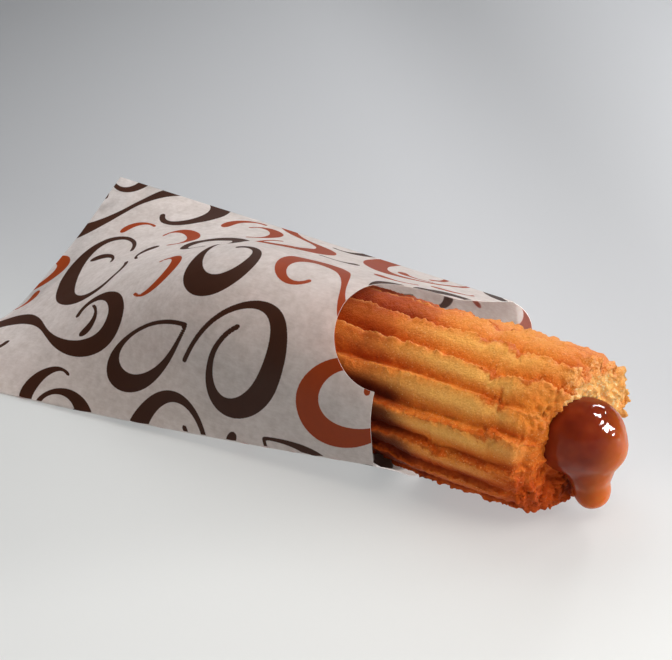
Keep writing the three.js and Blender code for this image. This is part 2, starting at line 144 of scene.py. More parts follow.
# %% A material in the making
class Shade:
    """A material in the making."""

    def __init__(self, name):
        self.material = bpy.data.materials.new(name)
        self.material.use_nodes = True
        self.tree = self.material.node_tree
        self.tree.nodes.clear()
        self.output = self.tree.nodes.new("ShaderNodeOutputMaterial")

    def node(self, kind, settings=None, sockets=None, out=0):
        """Adds a node: its kind, its settings, its sockets' numbers or links."""
        node = self.tree.nodes.new("ShaderNode" + kind)
        for name, setting in (settings or {}).items():
            if name == "stops":
                ramp = node.color_ramp
                while len(ramp.elements) < len(setting):
                    ramp.elements.new(1.0)
                for element, (place, colour) in zip(ramp.elements, setting):
                    element.position = place
                    element.color = (*colour, 1.0)
            else:
                setattr(node, name, setting)
        for name, value in (sockets or {}).items():
            if isinstance(value, Value):
                self.tree.links.new(value.socket, node.inputs[name])
            elif hasattr(value, "__len__") and node.inputs[name].type == "RGBA":
                node.inputs[name].default_value = (*value, 1.0)[:4]
            else:
                node.inputs[name].default_value = value
        return Value(self, node.outputs[out])

    def attribute(self, name):
        """A number that is stored at each point of the mesh."""
        return self.node("Attribute", {"attribute_name": name}, out="Fac")

    def along(self, axis):
        """The place along X, Y or Z of the frame, in metres."""
        place = self.node("TexCoord", out="Object")
        return self.node("SeparateXYZ", sockets={0: place}, out=axis)

    def noise(self, size, detail=2.0, roughness=0.5, squash=(1, 1, 1)):
        """Noise from 0 to 1, with lumps of a size in millimetres."""
        place = self.node("TexCoord", out="Object")
        place = self.node("Mapping", sockets={"Vector": place, "Scale": squash})
        scale = {"Scale": 1 / (size * MM), "Detail": detail, "Roughness": roughness}
        return self.node("TexNoise", sockets={"Vector": place, **scale}, out=0)

    def step(self, value, low, high):
        """0 below low, 1 above high and smooth in between."""
        limits = {"Value": value, "From Min": low, "From Max": high}
        return self.node("MapRange", {"interpolation_type": "SMOOTHSTEP"}, limits)

    def mix(self, share, first, second, kind="MIX"):
        """Colours laid over one another."""
        settings = {"data_type": "RGBA", "blend_type": kind}
        node_sockets = {0: share, 6: first, 7: second}
        return self.node("Mix", settings, node_sockets, out=2)

    def ramp(self, value, *stops):
        """A colour for each value from 0 to 1."""
        return self.node("ValToRGB", {"stops": stops}, {"Fac": value})

    def surface(self, shader):
        self.tree.links.new(shader.socket, self.output.inputs["Surface"])
        print("material", self.material.name, "has", len(self.tree.nodes), "nodes")
        return self.material


print("classes for shading:", Value.__name__, "and", Shade.__name__)

# %% [markdown]
# The churro lies on a pale studio table that glows a little from below, which keeps shadows
# light, and gets darker towards the far left. A plain plane does, as long as it reaches past the
# view. Its tone is a sum of soft steps, one for each side on which light pools or fades.

# %% Table
TABLE_SIZE = 6.0
TABLE_NEAR, TABLE_FAR, DARK = (0.443, 0.451, 0.448), (0.437, 0.444, 0.462), (0.0, 0.0, 0.0)
TABLE_DIMMEST, TABLE_GLOW, TABLE_ROUGHNESS = 0.175, 1.2, 0.6

half = TABLE_SIZE / 2
corners = [(-half, -half, 0), (half, -half, 0), (half, half, 0), (-half, half, 0)]
table_mesh = bpy.data.meshes.new("table")
table_mesh.from_pydata(corners, [], [(0, 1, 2, 3)])
table = new_object("table", table_mesh)

shade = Shade("table top")
along_x, along_y = shade.along("X"), shade.along("Y")
close_by = shade.step(along_x * along_x, 0.36, 0.12)
to_front = shade.step(along_y, 0.06, -0.045) * close_by
brightness = TABLE_DIMMEST + to_front * 0.12
# what each step adds, the direction it goes in, and where it is 0 and 1, in metres
for added, place, low, high in (
    (0.43, along_x + along_y * 0.15, -0.33, 0.06),  # lighter away from the left
    (0.06, along_x - along_y, 0.056, 0.105),  # a pool of light in front
    (-0.12, along_x + along_y, 0.07, 0.16),  # darker past the open end
    (0.10, along_x + along_y, 0.15, 0.26),  # lighter again in the far corner
):
    brightness = brightness + shade.step(place, low, high) * added
table_tone = shade.mix(brightness, DARK, shade.mix(to_front, TABLE_FAR, TABLE_NEAR))
table_skin = shade.node("BsdfPrincipled", sockets={
    "Base Color": table_tone,
    "Roughness": TABLE_ROUGHNESS,
    "Emission Color": table_tone,
    "Emission Strength": TABLE_GLOW,
})
table_mesh.materials.append(shade.surface(table_skin))

# %% [markdown]
# The light is soft: warm lamps on the right and in front, cool ones on the left and behind.
# Three small lamps light nothing and are only mirrored, as the glints on the wet filling.

# %% Lamps
WARM, COOL = (1.0, 0.91, 0.83), (0.97, 0.99, 1.0)
CRUST_AIM, DROP_AIM = (125, 0, 15), (170, 0, 25)
# name, direction, distance and size in metres, power in watts, colour
LAMPS = [
    ("right", (0.47, -0.17, 0.87), 0.30, 0.16, 0.45, WARM),
    ("left", (-0.6, 0.3, 0.9), 0.40, 0.30, 0.85, COOL),
    ("behind", (-0.55, 0.65, 0.5), 0.50, 0.35, 1.05, COOL),
    ("low right", (0.92, 0.12, 0.36), 0.40, 0.20, 0.62, WARM),
    ("front", (0.25, -0.85, 0.45), 0.55, 0.35, 0.33, WARM),
]
GLINTS = [
    ("glint high", (0.42, 0.70, 0.58), 0.50, 0.11, 4.4, COOL),
    ("glint low", (0.78, 0.55, 0.27), 0.50, 0.13, 6.2, COOL),
    ("glint behind", (-0.12, 0.92, 0.36), 0.50, 0.12, 1.5, COOL),
]
ROOM_TONE, ROOM_LIGHT = (1.0, 0.95, 0.9, 1.0), 0.06


def soft_lamp(name, direction, distance, size, watts, colour, aim, glint):
    """A square lamp that shines from a direction on its aim, or is only mirrored there."""
    data = bpy.data.lights.new(name, "AREA")
    data.size = size
    data.energy = watts
    data.color = colour
    lamp = new_object(name, data)
    towards = Vector(direction).normalized()
    lamp.location = Vector(to_frame(aim)) + towards * distance
    lamp.rotation_euler = towards.to_track_quat("Z", "Y").to_euler()
    lamp.visible_glossy = glint
    lamp.visible_diffuse = not glint


for lamp in LAMPS:
    soft_lamp(*lamp, aim=CRUST_AIM, glint=False)
for lamp in GLINTS:
    soft_lamp(*lamp, aim=DROP_AIM, glint=True)

world = bpy.data.worlds.new("studio")
world.use_nodes = True
room = world.node_tree.nodes["Background"]
room.inputs["Color"].default_value = ROOM_TONE
room.inputs["Strength"].default_value = ROOM_LIGHT
bpy.context.scene.world = world
bpy.context.scene.view_settings.view_transform = "Standard"

# %% [markdown]
# Dough and paper are never quite even. Their unevenness comes from seeded noise, so that each
# run gives the same shape: along one ridge, as in the CAD model, and in space for crumbs.


# %% Noise along a line
def lerp(a, b, t):
    return a + (b - a) * t


def smoothstep(x, low, high):
    t = np.clip((x - low) / (high - low), 0, 1)
    return t * t * (3 - 2 * t)


def make_random(seed):
    """The CAD model's own generator of numbers from 0 to 1, so that both share their tears."""
    mask = 0xFFFFFFFF
    state = seed & mask

    def draw():
        nonlocal state
        state = (state + 0x6D2B79F5) & mask
        t = ((state ^ (state >> 15)) * (1 | state)) & mask
        t = ((t + (((t ^ (t >> 7)) * (61 | t)) & mask)) & mask) ^ t
        return (t ^ (t >> 14)) / 4294967296

    return draw


LINE_VALUES = 64  # random values on a line before they repeat


def line_noise(seed, step):
    """Smooth noise from -1 to 1 along a line, with one random value per step."""
    draw = make_random(seed)
    values = np.array([2 * draw() - 1 for _ in range(LINE_VALUES)])

    def at(x):
        place = np.asarray(x, float) / step + 1000
        cell = np.floor(place).astype(int)
        here, ahead = values[cell % LINE_VALUES], values[(cell + 1) % LINE_VALUES]
        return lerp(here, ahead, smoothstep(place - cell, 0, 1))

    return at


print("a quarter of the way up a smooth step:", smoothstep(0.25, 0, 1))


# %% Noise in space
def space_noise(points, size, seed):
    """Smooth noise from -1 to 1 in space, with lumps of a size."""
    scaled = points / size
    cell = np.floor(scaled).astype(np.int64)
    part = smoothstep(scaled - cell, 0, 1)
    total = np.zeros(points.shape[:-1])
    for corner in np.ndindex(2, 2, 2):
        key = (cell + corner) @ np.array([73856093, 19349663, 83492791]) + seed * 961748927
        key = ((key ^ (key >> 13)) * 1274126177) & 0x7FFFFFFF
        key = ((key ^ (key >> 15)) * 2246822519) & 0x7FFFFFFF
        weight = np.prod(np.where(corner, part, 1 - part), axis=-1)
        total += weight * ((key & 0xFFFF) / 32767.5 - 1)
    return total


print("noise at one place:", round(float(space_noise(np.array([1.0, 2.0, 3.0]), 1.5, 4)), 4))

# %% [markdown]
# The meshes here are grids of points: rows round the churro, rows across the bag. Blender takes
# them fastest as whole arrays, with the numbers that materials need stored at each point.


# %% Faces and normals of grids
def grid_faces(rows, columns, start=0, wrap=False, flip=False):
    """Quads between the points of a grid, which are numbered row by row."""
    index = start + np.arange(rows * columns).reshape(rows, columns)
    ahead = np.roll(index, -1, axis=1)
    if not wrap:
        index, ahead = index[:, :-1], ahead[:, :-1]
    quads = np.stack([index[:-1], ahead[:-1], ahead[1:], index[1:]], axis=-1).reshape(-1, 4)
    return quads[:, ::-1] if flip else quads


def grid_normals(points, wrap=False):
    """Unit normals of a grid of points, from its neighbours."""
    down = np.gradient(points, axis=0)
    if wrap:
        across = np.roll(points, -1, axis=1) - np.roll(points, 1, axis=1)
    else:
        across = np.gradient(points, axis=1)
    normal = np.cross(across, down)
    return normal / np.maximum(np.linalg.norm(normal, axis=-1, keepdims=True), 1e-12)


print("faces of a grid of 3 by 4 points:", len(grid_faces(3, 4)))


# %% Rings round the axis
def closed_rings(grid, ends, flip=False):
    """Points and faces of a grid of rings that is closed at both ends by a point."""
    rows, columns = grid.shape[:2]
    ring = np.arange(columns)
    first, last = rows * columns, rows * columns + 1
    quads = [tuple(face) for face in grid_faces(rows, columns, wrap=True, flip=flip)]
    caps = [(first, a, b) if flip else (first, b, a) for a, b in zip(ring, np.roll(ring, -1))]
    ring = ring + (rows - 1) * columns
    caps += [(last, b, a) if flip else (last, a, b) for a, b in zip(ring, np.roll(ring, -1))]
    return np.concatenate([grid.reshape(-1, 3), ends]), quads + caps


def round_axis(x, radius, angle):
    """Points at a radius and an angle round the churro's axis."""
    y, z = radius * np.cos(angle), AXIS_HEIGHT + radius * np.sin(angle)
    return np.stack(np.broadcast_arrays(x, y, z), axis=-1)


print("a point above the axis:", round_axis(0.0, 1.0, math.pi / 2).round(1))


# %% Meshes from arrays
def make_object(name, points, faces, materials, numbers=None, face_materials=None, sharp=None):
    """A smooth mesh object from points in millimetres, riding on the one body."""
    mesh = bpy.data.meshes.new(name)
    mesh.from_pydata(to_frame(points), [], [list(face) for face in faces])
    mesh.validate()
    for material in materials:
        mesh.materials.append(material)
    mesh.polygons.foreach_set("use_smooth", np.ones(len(mesh.polygons), bool))
    for key, values in (numbers or {}).items():
        attribute = mesh.attributes.new(key, "FLOAT", "POINT")
        attribute.data.foreach_set("value", np.asarray(values, np.float32).ravel())
    if face_materials is not None:
        mesh.polygons.foreach_set("material_index", np.asarray(face_materials, np.int32))
    if sharp is not None:
        mesh.set_sharp_from_angle(angle=math.radians(sharp))
    mesh.update()
    thing = new_object(name, mesh)
    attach(thing, "root")
    print(name, len(mesh.vertices), "points", len(mesh.polygons), "faces")
    return thing


# %% [markdown]
# ## The dough
#
# A churro is pressed through a star-shaped nozzle and swells as it fries. Each ridge is a rounded
# band that falls away from its crest to a groove, where the next band starts with a steep flank.
# The crests tear as the dough leaves the nozzle, so they are ragged, wander a little, and have
# broken through in places. The numbers are those of the CAD solid, with finer teeth on top.

# %% Ridges
RIDGES = 16
FIRST_CREST = math.radians(7)
PITCH = 2 * math.pi / RIDGES
CREST_RADIUS = 18.8
CREST_SINK, CREST_SWELL = 0.25, 0.2  # crests lie this far below the radius, and vary by this
SWELLING, SWELL_FROM, SWELL_TO = 0.6, 120.0, 136.0
GROOVE_DEPTH, GROOVE_SWELL, LOWER_GROOVES = 2.4, 0.35, 0.6
GROOVE_AT, FALL = 0.87, 1.5
BAND = PITCH * CREST_RADIUS  # width of a ridge in millimetres
DOUGH_START, DOUGH_TIP = 70.0, 164.4
BARE_FROM, BARE_EASE = 112.0, 5.0  # from here on the crust shows


def ridge_noises(seed, step):
    return [line_noise(seed + k, step) for k in range(RIDGES)]


tears, wander, swell = ridge_noises(100, 1.9), ridge_noises(300, 13), ridge_noises(500, 9)
serration, jitter = ridge_noises(900, 0.8), ridge_noises(1100, 1.4)
stretches = ridge_noises(1300, 7)


def by_ridge(k, x, functions):
    """The value of one noise per ridge, for arrays of ridges and places along the churro."""
    value = np.zeros(np.broadcast(k, x).shape)
    for ridge, function in enumerate(functions):
        here = np.broadcast_to(k == ridge, value.shape)
        value[here] = function(np.broadcast_to(x, value.shape)[here])
    return value


def bareness(x):
    return smoothstep(x, BARE_FROM - BARE_EASE, BARE_FROM + BARE_EASE)


print("a ridge is", round(BAND, 2), "mm wide")

# %% [markdown]
# Here and there a crest has broken through. Past such a gap the ridge goes on a little to one
# side, because the dough was torn there while it was soft. At the open end each ridge stands out
# as a tooth of its own length.

# %% Gaps and teeth
GAP_MARGIN = 6.0
GAP_HALF_LENGTHS, GAP_DEPTHS = (1.4, 2.8), (0.7, 1.5)
GAP_SHIFT, SHIFT_EASE, SHIFT_FADES = 0.19, 0.4, 9.0
TEETH_ALONG, TEETH_OUT = (-0.6, 2.2), (-0.3, 0.6)

draw = make_random(11)
gaps = []  # ridge, side to which it goes on, place, half length and depth
for k in range(RIDGES):
    for number in range(1 + int(2 * draw())):
        place = lerp(BARE_FROM + GAP_MARGIN, DOUGH_TIP - GAP_MARGIN, draw())
        size = lerp(*GAP_HALF_LENGTHS, draw()), lerp(*GAP_DEPTHS, draw())
        gaps.append((k, (-1) ** (k + number), place, *size))
draw = make_random(29)
teeth = [(lerp(*TEETH_ALONG, draw()), lerp(*TEETH_OUT, draw())) for _ in range(RIDGES)]
print("gaps on the ridges:", len(gaps))


# %% Heights and shifts of the crests
def crest_height(k, x):
    """How far a ridge stands over the nominal radius, and how deep its gaps are."""
    height = bareness(x) * CREST_SWELL * by_ridge(k, x, swell) - CREST_SINK
    for ridge, _, place, half_length, depth in gaps:
        height = height - (k == ridge) * depth * np.exp(-(((x - place) / half_length) ** 2))
    return height


def crest_shift(k, x):
    """How far a ridge goes to one side past its gaps, drifting back over a centimetre."""
    shift = 0
    for ridge, side, place, _, depth in gaps:
        beyond = smoothstep(x, place - SHIFT_EASE, place + SHIFT_EASE)
        beyond = beyond * np.exp(-np.abs(x - place) / SHIFT_FADES)
        shift = shift + (k == ridge) * side * GAP_SHIFT * depth * beyond
    return shift


def brokenness(k, x):
    """1 in the middle of a gap, where a crest is crumbly, and 0 away from it."""
    broken = np.zeros(np.broadcast(k, x).shape)
    for ridge, _, place, half_length, _ in gaps:
        near = np.exp(-(((x - place) / (1.3 * half_length)) ** 2))
        broken = np.maximum(broken, (k == ridge) * near)
    return broken


print("crests half way along:", crest_height(np.arange(RIDGES), 138.0).round(1))

# %% [markdown]
# The points run round the churro, closer together at the crests and in the grooves, where the
# detail is. Between two crests every value is blended from the one to the other, so that no
# ridge ends in a step.

# %% Columns round the crust
FALL_COLUMNS, FLANK_COLUMNS, CROWDING = 15, 6, 1.35
TEAR_HEIGHT, SERRATION_HEIGHT = 0.7, 0.35
WANDERING, JITTERING = 0.09, 0.03  # in widths of a ridge

fall = GROOVE_AT * np.linspace(0, 1, FALL_COLUMNS + 1)[:-1] ** CROWDING
flank = np.linspace(GROOVE_AT, 1, FLANK_COLUMNS + 1)[:-1]
ridge_of = np.repeat(np.arange(RIDGES), FALL_COLUMNS + FLANK_COLUMNS)
across = np.tile(np.concatenate([fall, flank]), RIDGES)
following = (ridge_of + 1) % RIDGES
depth = np.where(across < GROOVE_AT, (across / GROOVE_AT) ** FALL, (1 - across) / (1 - GROOVE_AT))
on_crest = 1 - depth
from_crest = np.minimum(across, 1 - across) * BAND


def near_crest(width):
    """1 on a crest, fading to 0 over a width in millimetres."""
    return np.exp(-((from_crest / width) ** 2))


def both_ridges(function, x):
    """A value of each ridge, blended from the crest on one side to the crest on the other."""
    return lerp(function(ridge_of, x), function(following, x), across)


def both_noises(noises, x):
    return both_ridges(lambda k, places: by_ridge(k, places, noises), x)


def facing(angles, degrees, low, high):
    """How far places face an angle round the churro: 0 is far, 90 up, 180 near and 270 down."""
    return smoothstep(np.cos(angles - math.radians(degrees)), low, high)


lip = near_crest(0.5)
print("columns round the dough:", len(across))


# %% Radius and angle of the crust
def crust(x):
    """Radius and angle of the crust round the churro, for a column of places along it."""
    lower_side = facing(PITCH * ridge_of + FIRST_CREST, 240, 0, 0.8)
    floor = GROOVE_DEPTH + GROOVE_SWELL * by_ridge(ridge_of, x, swell)
    floor = floor - LOWER_GROOVES * lower_side
    radius = CREST_RADIUS + SWELLING * smoothstep(x, SWELL_FROM, SWELL_TO)
    radius = radius + both_ridges(crest_height, x) * on_crest - floor * depth
    ragged = TEAR_HEIGHT * both_noises(tears, x) * near_crest(1.5)
    ragged = ragged + SERRATION_HEIGHT * both_noises(serration, x) * near_crest(0.7)
    torn_here = smoothstep(both_noises(stretches, x), -0.4, 0.5)
    radius = radius + bareness(x) * ragged * lerp(0.3, 1.0, torn_here)
    drift = WANDERING * both_noises(wander, x)
    drift = drift + JITTERING * bareness(x) * lip * both_noises(jitter, x)
    drift = drift + both_ridges(crest_shift, x)
    return radius, FIRST_CREST + PITCH * (ridge_of + across + drift)


print("mean radius half way:", round(float(crust(np.array([[138.0]]))[0].mean()), 2))

# %% [markdown]
# Rows run from the hidden end along the outside. The open end is cut at a slant, and every ridge
# reaches a little further or less far as a tooth. On the near side the grooves run out before
# the rim, and the rim is rounded.

# %% Outside of the dough
HIDDEN_ROUNDING = 6.0
HIDDEN_ROWS, BARE_ROWS = 1.2, 0.27  # millimetres between two rows
TIP_LENGTH, TIP_TAPER = 7.0, 0.7
NEAR_TAPER, NEAR_TOWARDS = 1.6, math.radians(165)
SLANT, SLANT_TOWARDS = 4.0, math.radians(20)
RUN_OUT_FROM, RUN_OUT_WAVES, RUN_OUT_LENGTH, RUN_OUT_RELIEF = 11.0, 4.5, 9.0, 0.15
RIM_LENGTH, RIM_ROUNDING = 4.5, 0.9


def slanted(angle):
    """How much further the open end reaches at an angle."""
    return SLANT * np.cos(angle - SLANT_TOWARDS)


def facing_near(angle):
    return np.maximum(0, np.cos(angle - NEAR_TOWARDS)) ** 2


def between(values):
    """One value per ridge, blended round the churro and fading into the grooves."""
    return lerp(values[ridge_of], values[following], across) * on_crest


hidden_x = np.arange(DOUGH_START + HIDDEN_ROUNDING, BARE_FROM - BARE_EASE, HIDDEN_ROWS)
bare_x = np.arange(BARE_FROM - BARE_EASE, DOUGH_TIP - 0.4, BARE_ROWS)
outside_x = np.concatenate([hidden_x, bare_x])[:, None]
radius, angle = crust(outside_x)

near_side = facing(angle, 200, -0.05, 0.55)
smooth_from = DOUGH_TIP - RUN_OUT_FROM + RUN_OUT_WAVES * line_noise(1501, 0.28)(angle)
run_out = near_side * smoothstep(outside_x, smooth_from, smooth_from + RUN_OUT_LENGTH)
even = CREST_RADIUS - 0.5 + RUN_OUT_RELIEF * (radius - CREST_RADIUS)
radius = lerp(radius, even, run_out)
past = np.clip((outside_x - DOUGH_TIP + RIM_LENGTH) / RIM_LENGTH, 0, 0.97)
rounding_off = RIM_ROUNDING * (1 + facing_near(angle))
radius = radius - rounding_off * (1 - np.sqrt(1 - past * past))

tooth, flare = (between(values) for values in np.array(teeth).T)
pull = smoothstep(outside_x, DOUGH_TIP - TIP_LENGTH, DOUGH_TIP)
outside_x = outside_x + pull * (tooth * (1 - 0.7 * near_side) + slanted(angle))
radius = radius + pull * (flare - TIP_TAPER - NEAR_TAPER * facing_near(angle))
print("rows along the outside:", len(outside_x))

# %% [markdown]
# At the rim the rows turn inwards, over the torn face, which dips towards the filling, and into
# the channel that holds it. The hidden end is simply rounded off.

# %% Ends of the dough
MOUTH_DEPTH = 3.4
FACE_ROWS, FACE_FROM, FACE_TO = 46, 0.98, 0.37  # shares of the radius
CHANNEL_RADIUS, CHANNEL_FROM, CHANNEL_TO = 6.7, 158, 82

rounding = np.radians([0, 30, 60])[:, None]
end_radius, end_angle = crust(np.full((3, 1), DOUGH_START))
end_x = DOUGH_START + HIDDEN_ROUNDING * (1 - np.cos(rounding)) + 0 * end_radius
end_radius = end_radius - HIDDEN_ROUNDING * (1 - np.sin(rounding))

tip_angle = angle[-1:]
shares = np.linspace(FACE_FROM, FACE_TO, FACE_ROWS)[:, None]
relief = smoothstep(shares, 0.55, 1)
near_rim = near_side[-1:]
face_x = DOUGH_TIP + 0.4 + shares * slanted(tip_angle)
face_x = face_x + relief * tooth * (1 - 0.7 * near_rim) - MOUTH_DEPTH * (1 - shares)
face_x = face_x - 0.5 * smoothstep(shares, 0.93, 1.0)
face_radius = shares * lerp(CREST_RADIUS - 1 - 2 * near_rim, radius[-1:], relief)
channel_x = np.linspace(CHANNEL_FROM, CHANNEL_TO, 12)[:, None] + 0 * tip_angle
x_sections = end_x, outside_x, face_x, channel_x


def on_rows(*values):
    """Values for the rows of the hidden end, the outside, the face and the channel."""
    return np.concatenate([value + 0 * x for value, x in zip(values, x_sections)])


x_all = on_rows(*x_sections)
a_all = on_rows(end_angle, angle, tip_angle, tip_angle)
dough_grid = round_axis(x_all, on_rows(end_radius, radius, face_radius, CHANNEL_RADIUS), a_all)
print("dough rows and columns:", dough_grid.shape[:2])

# %% [markdown]
# Fried dough has a grainy skin, and where it has torn it is crumbly. Each point moves out along
# its normal: a little everywhere that shows, more on the crests and most on the torn face.

# %% Where the dough is crumbly
ragged_x = x_all - slanted(a_all) + 1.6 * space_noise(dough_grid, 3.1, 5)
near_tip = smoothstep(ragged_x, DOUGH_TIP - 4.5, DOUGH_TIP + 0.5) * on_rows(1, 1, 0, 0)
torn = on_rows(0, 0, 1, 0) + near_tip
crumbly = torn * lerp(0.25, 1.0, facing(a_all, 55, -0.35, 0.3))
shows = smoothstep(x_all, BARE_FROM - 6, BARE_FROM) * on_rows(1, 1, 1, 0)
patchy = smoothstep(space_noise(dough_grid, 4.5, 4), -0.3, 0.7)
broken = both_ridges(brokenness, x_all) * near_crest(1.8)
lips = lip * np.ones_like(x_all)
fraying = on_rows(0, run_out, near_rim, 0)
lumps_below = facing(a_all, 255, 0.3, 0.8) * lerp(0.3, 1.0, lips)
lumps_below = lumps_below * (0.6 + 1.6 * smoothstep(x_all, 155, 160))
print("share of the points that show:", round(float((shows > 0).mean()), 2))


# %% Crumbs
def billows(points, size, seed):
    """Round lumps with creases between them, from -1 to 1."""
    return 2.6 * np.abs(space_noise(points, size, seed)) - 1


crumb_noises = (
    billows(dough_grid, 3.1, 1),
    billows(dough_grid, 1.4, 6),
    space_noise(dough_grid, 0.85, 2),
    space_noise(dough_grid, 0.42, 3),
)
# where the dough moves, and how far with each noise, from the coarsest to the finest
CRUMB_MOVES = (
    (1.0, 0, 0.05, 0.10, 0.07),
    (lips * lerp(0.3, 1.0, patchy), 0, 0, 0.32, 0.26),
    (broken, 0, 0.5, 0.35, 0.2),
    (lumps_below, 0.42, 0.3, 0, 0.12),
    (fraying, 0.16, 0.16, 0, 0.08),
    (crumbly, 0.40, 0.45, 0.38, 0.28),
)
move = 0
for where, *amounts in CRUMB_MOVES:
    move = move + where * sum(a * noise for a, noise in zip(amounts, crumb_noises) if a)
dough_grid = dough_grid + grid_normals(dough_grid, wrap=True) * (shows * move)[..., None]
dough_ends = round_axis(np.array([DOUGH_START, CHANNEL_TO - 0.3]), 0, 0)
dough_points, dough_faces = closed_rings(dough_grid, dough_ends)
print("crumbs reach out", round(float((shows * move).max()), 2), "mm")

# %% [markdown]
# The crust is painted darker where shade falls: low on the churro, deep in the grooves, near the
# bag's mouth and, darkest, in the pocket beside the paper's edge. The upper ridges are orange,
# those on the near side golden, and
# the pale crumb shows where the end has torn, above the filling.

# %% How brown and how shaded the crust is
SHADED_FROM, SHADED_TO = 114, 142  # from the bag's mouth towards the light
OPEN_FROM, OPEN_TO = 146, 162
POCKET_END, POCKET_REACH = 131, 4

height_share = smoothstep(np.sin(a_all), -0.8, 0.45)
shaded_end = 1 - smoothstep(x_all, SHADED_FROM, SHADED_TO)
open_end = smoothstep(x_all, OPEN_FROM, OPEN_TO)
grooved = depth * (1 - fraying)
# painted shade: darker low on the churro, where less light falls, and deep in the grooves
brown = (1 - height_share) * (0.48 + 0.27 * grooved) + 0.22 * grooved
far_top = facing(a_all, 55, 0.3, 0.95)
# painted shade inside the bag's mouth, most on the low side and the far top; a little browner
# towards the open end
brown = brown + shaded_end * (0.85 - 0.4 * height_share + 0.4 * far_top) + 0.14 * open_end
low_side = facing(a_all, 225, 0.20, 0.42)
# more painted shade low on the near side, beside the paper's edge
brown = brown + 0.4 * (1 - smoothstep(x_all, 120, 134)) * low_side

gold_band = np.exp(-(((across - 0.30) / 0.25) ** 2)) * (1 - fraying)
golden = gold_band * lerp(0.25, 1.0, facing(a_all, 150, 0.3, 0.95))
golden = golden * lerp(0.1, 1.0, height_share)
# less gold in the painted shade at the mouth, and towards the open end
golden = golden * (1 - 0.85 * shaded_end) * (1 - 0.4 * open_end)
golden = golden + 0.7 * torn * facing(a_all, 5, 0.5, 0.9)
print("brownest:", round(float(brown.max()), 2), "most golden:", round(float(golden.max()), 2))

# %% Painted shade in the pocket, red crests and crumb
# painted shade in the pocket between the paper's edge and the churro, lighter on the crests
pocket_end = POCKET_END + POCKET_REACH * facing(a_all, 225, 0.6, 0.95)
pocket = (1 - smoothstep(x_all, pocket_end - 5, pocket_end + 3)) * low_side
pocket = pocket * (1 - 0.85 * near_crest(0.9))
red_crests = lips * facing(a_all, 205, 0.3, 0.8)
pale_crests = (lips - 0.6 * red_crests) * lerp(0.4, 1.0, patchy) * lerp(0.2, 1.0, height_share)
inner = on_rows(0, 0.15, 1 - smoothstep(shares, 0.7, 0.95), 0)
crumb = torn * lerp(0.3, 1.0, inner) * facing(a_all, 52, 0.1, 0.65)
at_ends = np.zeros(len(dough_ends))
dough_numbers = {
    name: np.concatenate([(values * np.ones_like(x_all)).ravel(), at_ends])
    for name, values in (
        ("crest", pale_crests),
        ("golden", golden),
        ("brown", brown),
        ("pocket", pocket),
        ("broken", broken + 0.4 * lips * (1 - patchy) + 0.45 * red_crests),
        ("torn", crumb),
    )
}
print("numbers stored on the dough:", ", ".join(dough_numbers))

# %% [markdown]
# The crust's colour is laid on in layers, as a painter would: a ramp from orange to brown that
# also carries the painted shade, then gold, pale crests, red scabs, crumb and the painted shade
# of the pocket, and at last a fine grain with painted glints of oil and painted highlights on the
# crumb. Every layer follows one of the numbers on the points, roughened by noise. The crumb has
# a faint painted glow, in place of the light that passes through its thin walls.

# %% Crust material
ORANGE_TO_BROWN = (
    (0.20, (0.80, 0.285, 0.040)),
    (0.42, (0.77, 0.205, 0.026)),
    (0.60, (0.55, 0.088, 0.011)),
    (0.85, (0.25, 0.022, 0.003)),
)
GOLD, PALE_CREST, RED_SCAB = (1.0, 0.56, 0.15), (1.0, 0.50, 0.13), (0.62, 0.105, 0.010)
# the crumb spot is a painted highlight, the crumb glow painted light
CRUMB, CRUMB_GLINT, CRUMB_GLOW = (1.0, 0.53, 0.15), (1.0, 0.85, 0.52), (0.10, 0.075, 0.030)
# the pocket's colour is painted shade, the spark's a painted glint of oil
POCKET_SHADE, PAINTED_GLINT, GRAIN = (0.085, 0.013, 0.005), (1.0, 0.68, 0.30), (0.88, 0.78, 0.68)

shade = Shade("fried crust")
patches = shade.noise(9.0, 2.0)
streaks = shade.noise(3.0, 3.0, 0.6, squash=(0.35, 1, 1))
grain = shade.noise(0.45, 2.0, 0.6)
brown_and_shade = shade.attribute("brown")
scabs = shade.attribute("broken") + (shade.noise(1.1, 2.0) - 0.5) * 1.4
crumb_value = shade.step(shade.attribute("torn") + grain * 0.7, 0.55, 1.15)
crumb_glints = shade.step(shade.noise(0.7, 3.0, 0.7), 0.50, 0.62)
painted_glints = shade.step(shade.noise(0.4, 2.0, 0.7), 0.60, 0.70)
lit = 1 - shade.step(brown_and_shade, 0.3, 0.7)

# toasting and painted shade together, from the brown mask
toast_and_shade = patches * 0.4 + streaks * 0.35 + brown_and_shade * 0.6 - 0.1
skin = shade.ramp(toast_and_shade, *ORANGE_TO_BROWN)
for share, colour in (
    (shade.attribute("golden") * 0.85, GOLD),
    (shade.attribute("crest") * 0.5, PALE_CREST),
    (shade.step(scabs, 0.35, 0.75) * 0.7, RED_SCAB),
    (crumb_value * 0.95, CRUMB),
    # the pocket's painted shade
    (shade.attribute("pocket") * 0.9, POCKET_SHADE),
):
    skin = shade.mix(share, skin, colour)
speckle = shade.ramp(grain, (0.3, GRAIN), (0.55, (1.0, 1.0, 1.0)))
skin = shade.mix(1.0, skin, speckle, "MULTIPLY")
# painted glints of oil, kept out of the painted shade
skin = shade.mix(painted_glints * lit * 0.4, skin, PAINTED_GLINT)
